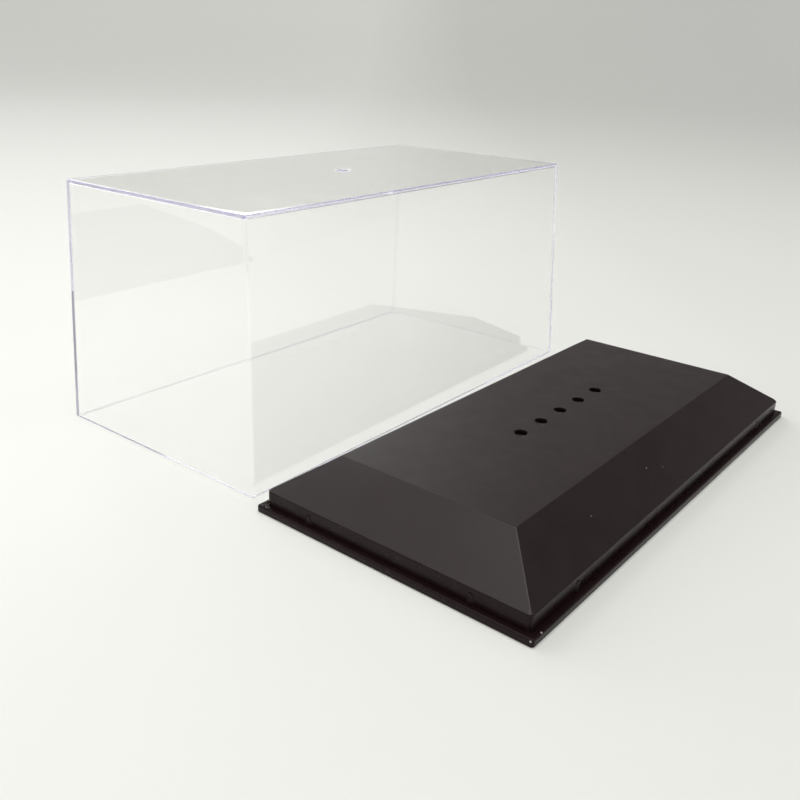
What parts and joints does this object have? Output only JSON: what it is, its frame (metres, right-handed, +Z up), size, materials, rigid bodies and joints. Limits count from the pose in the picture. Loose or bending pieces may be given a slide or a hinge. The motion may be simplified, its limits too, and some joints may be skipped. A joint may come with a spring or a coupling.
{
  "type": "display case",
  "caption": "Clear box-shaped cover standing beside its black base, a flanged tray with sloped sides up to a flat deck with a row of screw holes.",
  "frame": {"origin": "middle of the common footprint of base and cover, on the surface that both stand on", "axes": "+X along the case, +Y from the base to the cover standing behind it, +Z up"},
  "size_m": [0.2444, 0.2556, 0.1095],
  "materials": {
    "black_plastic": "black styrene, satin moulded surface",
    "clear_plastic": "crystal-clear styrene, polished, faint lavender tint seen along its edges"
  },
  "bodies": {
    "base": {"base": "black_plastic"},
    "cover": {"clear_cover": "clear_plastic"}
  },
  "joints": [
    {"name": "cover_lift", "type": "slide", "parent": "base", "child": "cover", "axis": [-0.0201, -0.6987, 0.7151], "range_m": [0, 0.1888]}
  ]
}
